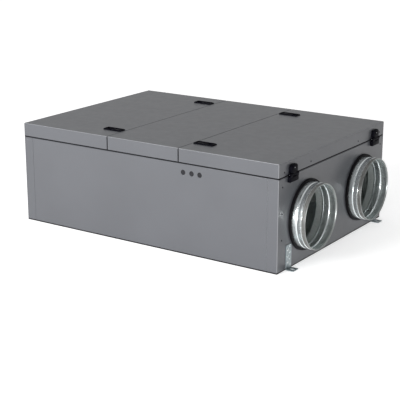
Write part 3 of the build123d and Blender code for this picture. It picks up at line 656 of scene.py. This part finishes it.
def latch_bezels(side):
    """Flush cups with a sloped rim; the cup is open below the paddle's hook."""
    low, high = node_box(f"{side}_latch_bezels")
    out = SIDES[side]
    half_x, half_y = (high.x - low.x) / 2, LATCH_WIDTH / 2
    skin = node_box(f"{side}_door_skin")[1].z
    meshes = []
    for y in (low.y + half_y, high.y - half_y):
        place = axes(((low.x + high.x) / 2, y, 0), X * out, Z)
        top, foot = high.z, low.z
        sections = [
            (rounded_rectangle(half_x, half_y, 6), skin + 0.02),
            (rounded_rectangle(half_x, half_y, 6), skin + 1.2),
            (rounded_rectangle(half_x - 2.6, half_y - 2.0, 5), top - 0.4),
            (rounded_rectangle(half_x - 3.4, half_y - 2.6, 4.6), top),
            (rounded_rectangle(half_x - 5.8, half_y - 4.0, 4.0), top),
            (rounded_rectangle(half_x - 7.3, half_y - 5.0, 2.6), top - 1.4),
            (rounded_rectangle(half_x - 7.5, half_y - 5.0, 2.4), foot + 2.2),
            (rounded_rectangle(half_x - 7.5, half_y - 5.0, 2.4), foot),
            (rounded_rectangle(half_x - 5.6, half_y - 3.0, 2.6), foot),
            (rounded_rectangle(half_x - 5.6, half_y - 3.0, 2.6), skin - 0.3),
        ]
        meshes.append(placed(loft(sections), place))
        start, end = CUP_FLOOR
        floor = soft_box((end - start, 26, 2), ((start + end) / 2 - half_x, 0, foot + 1), 0.3, 1)
        meshes.append(placed(floor, place))
    piece(f"{side}_latch_cups", joined(*meshes), f"{side}_door", "black_plastic", [f"{side}_latch_bezels"])


def crowned_bar(stations, width, across=9):
    """A bar along X whose top falls away at its long edges; each station gives X, underside and top."""
    builder = bmesh.new()
    rings = []
    steps = [(k / (across - 1) - 0.5) * width for k in range(across)]
    for x, under, over in stations:
        upper = [builder.verts.new((x, y, over - 0.7 * (2 * y / width) ** 4)) for y in steps]
        rings.append(upper + [builder.verts.new((x, y, under)) for y in reversed(steps)])
    for here, after in zip(rings, rings[1:]):
        for k in range(len(here)):
            onward = (k + 1) % len(here)
            builder.faces.new((here[k], after[k], after[onward], here[onward]))
    builder.faces.new(rings[0])
    builder.faces.new(list(reversed(rings[-1])))
    bmesh.ops.recalc_face_normals(builder, faces=builder.faces)
    mesh = bpy.data.meshes.new("bar")
    builder.to_mesh(mesh)
    builder.free()
    return mesh


def turned_pin(radius, reach, chamfer):
    """A pin along Z with small chamfers, the same length either way."""
    edge, end = radius - chamfer, reach - 0.3
    profile = [(0, -reach), (edge, -reach), (radius, -end), (radius, end), (edge, reach), (0, reach)]
    return lathe(profile, 24, closed=False)


def latch_paddle(side, row):
    """A lifting paddle with a crowned top, a finger lip, trunnions and its hook."""
    node = f"{side}_{row}_paddle"
    low, high = node_box(node)
    out = SIDES[side]
    pivot = joint_place(f"{side}_{row}_paddle_lift")
    place = axes(pivot, X * out, Z)
    top = high.z - pivot.z
    tip = abs((high.x if out > 0 else low.x) - pivot.x)
    stations = [(-3.5, 0.6, top - 1.0), (-2.4, -0.9, top - 0.1), (8, -1.0, top), (24, -1.0, top),
                (34, -1.0, top - 0.5), (tip - 3, -0.6, top - 1.1), (tip - 0.6, 0.2, top - 1.0),
                (tip, 0.9, top - 1.8)]
    blade = crowned_bar(stations, PADDLE_WIDTH)
    ribs = [soft_box((3, 20, 0.9), (x, 0, top + 0.05), 0.35, 2) for x in (tip - 19, tip - 14, tip - 9)]
    drop = low.z - pivot.z
    arm = soft_box((4, 18, 2 - drop), (0, 0, (drop + 2) / 2 - 0.5), 0.5, 2)
    nib = soft_box((11.5, 18, 4), (-5.75, 0, drop + 2), 0.6, 2)
    pin, hub = turned_pin(2.0, 14.5, 0.3), turned_pin(3.4, 11.5, 0.2)
    lay = axes((0, 0, 0), X, Y)
    for turned_piece in (pin, hub):
        turned_piece.transform(lay)
    meshes = [placed(m, place) for m in [blade, arm, nib, pin, hub] + ribs]
    piece(f"{side}_{row}_latch_paddle", joined(*meshes), node, "black_plastic", [node], sharp=40)


# ---- hinges -------------------------------------------------------------------------------------


HINGE_WIDTH = 60.0
HINGE_DEPTH = 12.0
DOOR_LEAF_HALF_WIDTH = 23.0
HINGE_SCREW_ABOVE = 24.0      # the screw's height over the pin
LEAF_GAP = 7.6                # between the pin's axis and either leaf
MIDDLE_KNUCKLE = 12.0


def knuckle(start, end, radius=6.5, bore=2.06):
    """A bored barrel along Z with softened ends."""
    edge = 0.7
    outer = [(radius - edge, start), (radius, start + edge), (radius, end - edge), (radius - edge, end)]
    return lathe(outer + [(bore, end), (bore, start)], 40)


def wall_frame(out, y, z=0.0, off=0.0):
    """A frame at an end wall's face, or off it: X along the wall, Y up, Z out of the wall."""
    return axes((out * (wall_face() + off), y, z), Y * out, X * out)


def hinge_base(axis, foot):
    """One casing half: a plain moulded leaf with two barrels, from its foot up to the pin."""
    half, depth, top = HINGE_WIDTH / 2, HINGE_DEPTH, axis.z - LEAF_GAP
    off, tall = axis.x - wall_face(), (top - foot) / 2
    edge, crown = rounded_rectangle(half, tall, 2.4), rounded_rectangle(half - 2.6, tall - 2.2, 2.2)
    shoulder = rounded_rectangle(half - 0.8, tall - 0.8, 2.4)
    leaf = loft([(edge, 0.02), (edge, depth - 2.4), (shoulder, depth - 0.8), (crown, depth)], closed=False,
                caps=True)
    leaf.transform(Matrix.Translation((0, (top + foot) / 2, 0)))
    meshes = [leaf]
    start = MIDDLE_KNUCKLE + 0.4
    for end in (-1, 1):
        barrel = knuckle(start, half)
        barrel.transform(axes((0, axis.z, off), Y, X * end))
        web = soft_box((half - start, 9.5, 10), (end * (half + start) / 2, axis.z - 4.6, off), 0.4, 1)
        meshes += [barrel, web]
    return meshes


def hinge_bases():
    low, high = node_box("hinge_bases")
    axis = joint_place("right_door_hinge")
    meshes = []
    for out in SIDES.values():
        for y in (low.y + HINGE_WIDTH / 2, high.y - HINGE_WIDTH / 2):
            meshes += [placed(m, wall_frame(out, y)) for m in hinge_base(axis, low.z)]
    piece("hinge_base_leaves", joined(*meshes), "casing", "black_plastic", ["hinge_bases"], sharp=40)


def hinge_leaves(side):
    """The door halves: a narrower leaf with cut top corners, a recessed face and the middle barrel."""
    node = f"{side}_hinge_leaves"
    low, high = node_box(node)
    half, depth = DOOR_LEAF_HALF_WIDTH, HINGE_DEPTH
    axis = joint_place(f"{side}_door_hinge")
    off = abs(axis.x) - wall_face()
    foot, top = axis.z + LEAF_GAP, high.z

    def outline(inset):
        w, cut = half - inset, 5.5
        slope = cut + inset * 0.4
        shoulder = cut - inset * 0.4
        return [(-w, foot + inset), (w, foot + inset), (w, top - slope), (w - shoulder, top - inset),
                (-w + shoulder, top - inset), (-w, top - slope)]
    meshes = []
    for y in (low.y + half, high.y - half):
        body = loft([(outline(0), 0.02), (outline(0), depth - 2.6), (outline(0.7), depth - 0.9),
                     (outline(2.4), depth)], closed=False, caps=True)
        barrel = knuckle(-MIDDLE_KNUCKLE, MIDDLE_KNUCKLE)
        barrel.transform(axes((0, axis.z, off), Y, X))
        web = soft_box((2 * MIDDLE_KNUCKLE, 9.5, 10), (0, axis.z + 4.6, off), 0.4, 1)
        boss = lathe([(0, depth - 0.2), (7.5, depth - 0.2), (7.2, depth + 0.7), (5.4, depth + 0.9),
                      (5.0, depth + 0.2), (0, depth + 0.2)], 32, closed=False)
        boss.transform(Matrix.Translation((0, axis.z + HINGE_SCREW_ABOVE, 0)))
        meshes += [placed(m, wall_frame(SIDES[side], y)) for m in (body, barrel, web, boss)]
    piece(f"{side}_hinge_door_leaves", joined(*meshes), f"{side}_door", "black_plastic", [node], sharp=40)


# ---- seals, grommets, brackets and fasteners ----------------------------------------------------


def frame_ring(low_x, high_x, half_y, width, z):
    """A rectangular ring of seal with rounded edges."""
    (x0, x1), (z0, z1) = (low_x, high_x), z
    middle, height = (z0 + z1) / 2, z1 - z0
    across = (x0 + x1) / 2
    bars = [soft_box((x1 - x0, width, height), (across, face * (half_y - width / 2), middle), 0.4, 1)
            for face in (-1, 1)]
    bars += [soft_box((width, 2 * half_y - 1, height), (x, 0, middle), 0.4, 1)
             for x in (x0 + width / 2, x1 - width / 2)]
    return bars


def rim_seals():
    """The black seal that fills the joint under the doors, close behind the faces: a real gasket, moved forward so
    its black paints the shade deep in the joint.
    """
    low, high = node_box("rim_gasket")
    wall = node_box("right_end_wall")[1]
    seam = node_box("middle_panel")[1].x
    # the small inset puts the black seal near the faces, as painted shade for the joint
    inset, overlap, width = 0.8, 8, 13
    end, side = wall.x - inset, wall.y - inset
    heights = (low.z, high.z)
    bars = []
    for x0, x1 in ((seam + overlap, end), (-end, -seam - overlap), (-seam + overlap, seam - overlap)):
        bars += frame_ring(x0, x1, side, width, heights)
    for x in (-seam, seam):
        for face in (-1, 1):
            centre = (x, face * (side - 6), sum(heights) / 2)
            bars.append(soft_box((19, 12, heights[1] - heights[0]), centre, 0.6, 1))
    seals = joined(*[placed(m, Matrix()) for m in bars])
    piece("door_seals", seals, "casing", "seal_rubber", ["rim_gasket"])


def seam_shade_strips():
    """Black strips at the bottom of the seams between the folded bands: painted shade, standing in for the shadow
    deep in the narrow seams.
    """
    low, high = node_box("middle_panel")
    door = node_box("right_door_skin")[0].x
    relief, depth, inset = 2.0, 4.8, 0.6
    z = (low.z + 0.3, high.z - 3.4)
    for body, start, sides in (("casing", high.x - relief, (-1, 1)), ("left_door", door, (-1,)),
                               ("right_door", door, (1,))):
        strips = []
        for side in sides:
            for face in (-1, 1):
                centre = (side * (start + relief / 2), face * (high.y - inset - depth / 2), sum(z) / 2)
                strips.append(soft_box((relief - 0.15, depth, z[1] - z[0]), centre, 0.2, 1))
        # these black strips are painted shade in the seams
        piece(f"{body}_seam_painted_shade", joined(*[placed(m, Matrix()) for m in strips]), body, "seal_rubber")


def base_tray():
    """The near-black tray the casing stands on, almost flush with the walls; its near-black is painted shade for
    the dark line at the foot of the walls.
    """
    high = node_box("base_pan")[1]
    x, y, z = high.x + 3.2, high.y + 3.2, high.z
    rim = frame_ring(-x, x, y, 24, (0, z))
    floor = soft_box((2 * x - 30, 2 * y - 30, 1.4), (0, 0, 0.9), 0.3, 1)
    tray = joined(*[placed(m, Matrix()) for m in rim + [floor]])
    piece("base_tray", tray, "casing", "base_coat", ["base_pan"])


def grommets():
    """Flush plugs with a dished middle and a soft rim."""
    low, high = node_box("cable_grommets")
    radius, flange, step = 10.0, 12.5, 38.0
    meshes = []
    for x in (low.x + flange, low.x + flange + step, high.x - flange):
        place = axes((x, low.y, (low.z + high.z) / 2), X, -Y)
        profile = [(0, -1.0), (5.8, -0.9), (7.0, -0.35), (7.8, -0.08), (9.2, -0.08), (radius - 0.1, -0.5),
                   (radius - 0.1, -1.3), (flange, -1.4), (flange, -2.4), (0, -2.4)]
        meshes.append(placed(lathe(profile, 48, closed=False), place))
    piece("cable_plugs", joined(*meshes), "casing", "grommet_rubber", ["cable_grommets"])


BRACKET_HALF_WIDTH = 20.0
BRACKET_SHEET = 2.5
BRACKET_BEND = 4.0
BRACKET_SLOT_X = 619.0
HOLE_RADIUS = 2.9
BRACKET_HOLES = [(8.0 if step % 2 == 0 else -8.0, 16.0 + 12 * step) for step in range(7)]
BRACKET_SCREWS = [BRACKET_HOLES[1], BRACKET_HOLES[5]]


def bracket_places():
    """Each bracket's end of the unit and its middle along Y."""
    low, high = node_box("mounting_brackets")
    rows = (low.y + BRACKET_HALF_WIDTH, high.y - BRACKET_HALF_WIDTH)
    return [(out, y) for out in SIDES.values() for y in rows]


def bracket_leg(height):
    tall, bend = (height - BRACKET_BEND) / 2, BRACKET_BEND
    edge = [(x, z + bend + tall) for x, z in rounded_rectangle(BRACKET_HALF_WIDTH - 0.3, tall - 0.3, 4)]
    leg = plate([edge] + [circle(x, z, HOLE_RADIUS) for x, z in BRACKET_HOLES], BRACKET_SHEET)
    leg.transform(axes((wall_face() + BRACKET_SHEET / 2, 0, 0), Y, X))
    return leg


def bracket_foot(reach):
    half, bend = (reach - BRACKET_BEND) / 2, BRACKET_BEND
    edge = [(x + bend + half, y) for x, y in rounded_rectangle(half - 0.3, BRACKET_HALF_WIDTH - 0.3, 5)]
    foot = plate([edge, slot_outline(BRACKET_SLOT_X - wall_face(), 0, 20, 4.5)], BRACKET_SHEET)
    foot.transform(Matrix.Translation((wall_face(), 0, BRACKET_SHEET / 2)))
    return foot


def bracket_corner():
    """The bend between leg and foot."""
    bend, half = BRACKET_BEND, BRACKET_HALF_WIDTH - 0.4
    outline = arc((bend, bend), bend, 180, 270, 8) + arc((bend, bend), bend - BRACKET_SHEET, 270, 180, 8)
    corner = loft([(outline, -half), (outline, half)], closed=False, caps=True)
    corner.transform(Matrix.Translation((wall_face(), 0, 0)) @ Matrix.Rotation(math.pi / 2, 4, "X"))
    return corner


def bracket_dimple(x, z):
    """The raised edge of one hole."""
    dimple = lathe([(HOLE_RADIUS, -0.1), (3.1, 0.6), (3.6, 0.8), (4.3, 0.5), (5.2, -0.1)], 20)
    dimple.transform(axes((wall_face() + BRACKET_SHEET, x, z), Y, X))
    return dimple


def brackets():
    """Angle brackets with a bent corner, pierced and dimpled leg and a slotted foot."""
    high = node_box("mounting_brackets")[1]
    meshes, eyelets = [], []
    for out, y in bracket_places():
        place = Matrix.Translation((0, y, 0)) @ Matrix.Scale(out, 4, X)
        parts = (bracket_leg(high.z), bracket_foot(high.x - wall_face()), bracket_corner())
        meshes += [placed(m, place) for m in parts]
        eyelets += [placed(bracket_dimple(x, z), place) for x, z in BRACKET_HOLES]
    # the hole rims take the brighter spigot zinc, a painted highlight for the light dots around the holes
    piece("bracket_eyelets", joined(*eyelets), "casing", "galvanised_steel", finish="spigot_zinc")
    piece("angle_brackets", joined(*meshes), "casing", "galvanised_steel", ["mounting_brackets"],
          finish="bracket_zinc_shaded", sharp=40)


WALL_RIVETS_Y = 397.0
WALL_RIVETS_Z = (122.0, 221.0, 320.0)
BAND_RIVETS_Y = (192.0, 385.0)
BAND_RIVETS_Z = 372.0
HINGE_SCREW_Z = 381.0


def rivet():
    """A blind rivet's head, with the pit its mandrel leaves."""
    head = [(0.9, 1.25), (1.5, 1.3), (2.3, 1.0), (3.0, 0.35), (3.2, 0.02), (3.2, -0.3)]
    return lathe([(0, 0.5), (0.7, 0.5)] + head, 24, closed=False)


def socket_screw(radius, height):
    """A low round head with a hexagon socket."""
    steps = 24
    hexagon = []
    for step in range(steps):
        angle = 2 * math.pi * step / steps
        fold = (angle + math.pi / 6) % (math.pi / 3) - math.pi / 6
        flat = 1.6 / math.cos(fold)
        hexagon.append((flat * math.cos(angle), flat * math.sin(angle)))
    rings = [(circle(0, 0, radius, steps), 0.02), (circle(0, 0, radius, steps), height - 0.7),
             (circle(0, 0, radius - 0.3, steps), height - 0.2), (circle(0, 0, radius - 0.9, steps), height),
             (hexagon, height), (hexagon, height - 1.0)]
    return loft(rings, closed=False, caps=True)


def fasteners():
    """Painted-over rivets on the end walls and bands, and bright screws on brackets and hinges."""
    for side, out in SIDES.items():
        heads = [placed(rivet(), wall_frame(out, y, z))
                 for y in (-WALL_RIVETS_Y, WALL_RIVETS_Y) for z in WALL_RIVETS_Z]
        piece(f"{side}_wall_rivets", joined(*heads), "casing", "bright_steel", finish="painted_rivet")
        heads = [placed(rivet(), wall_frame(out, face * y, BAND_RIVETS_Z))
                 for y in BAND_RIVETS_Y for face in (-1, 1)]
        piece(f"{side}_band_rivets", joined(*heads), f"{side}_door", "bright_steel",
              [f"{side}_door_fasteners"], finish="painted_rivet")
        low, high = node_box(f"{side}_hinge_leaves")
        screws = [placed(socket_screw(2.2, 0.9), wall_frame(out, y, HINGE_SCREW_Z, HINGE_DEPTH))
                  for y in (low.y + DOOR_LEAF_HALF_WIDTH, high.y - DOOR_LEAF_HALF_WIDTH)]
        piece(f"{side}_hinge_screws", joined(*screws), f"{side}_door", "bright_steel")
    heads = [placed(socket_screw(4.0, 2.2), wall_frame(out, y + shift, z, BRACKET_SHEET))
             for out, y in bracket_places() for shift, z in BRACKET_SCREWS]
    piece("bracket_screws", joined(*heads), "casing", "bright_steel", ["casing_fasteners"])


# ---- carried-over CAD nodes ---------------------------------------------------------------------


def finish_cad_nodes():
    """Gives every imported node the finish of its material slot."""
    slots = {s["node"]: s["material_slot"] for s in frame["record"]["subparts"]}
    for name, node in frame["nodes"].items():
        node.data.materials.clear()
        node.data.materials.append(FINISHES[slots[name]])


def main():
    add_camera()
    add_studio()
    finish_cad_nodes()
    spigots()
    collars()
    rim_seals()
    # black strips as painted shade in the band seams
    seam_shade_strips()
    base_tray()
    grommets()
    brackets()
    fasteners()
    hinge_bases()
    for side in SIDES:
        latch_bezels(side)
        hinge_leaves(side)
        for row in ROWS:
            latch_paddle(side, row)


main()
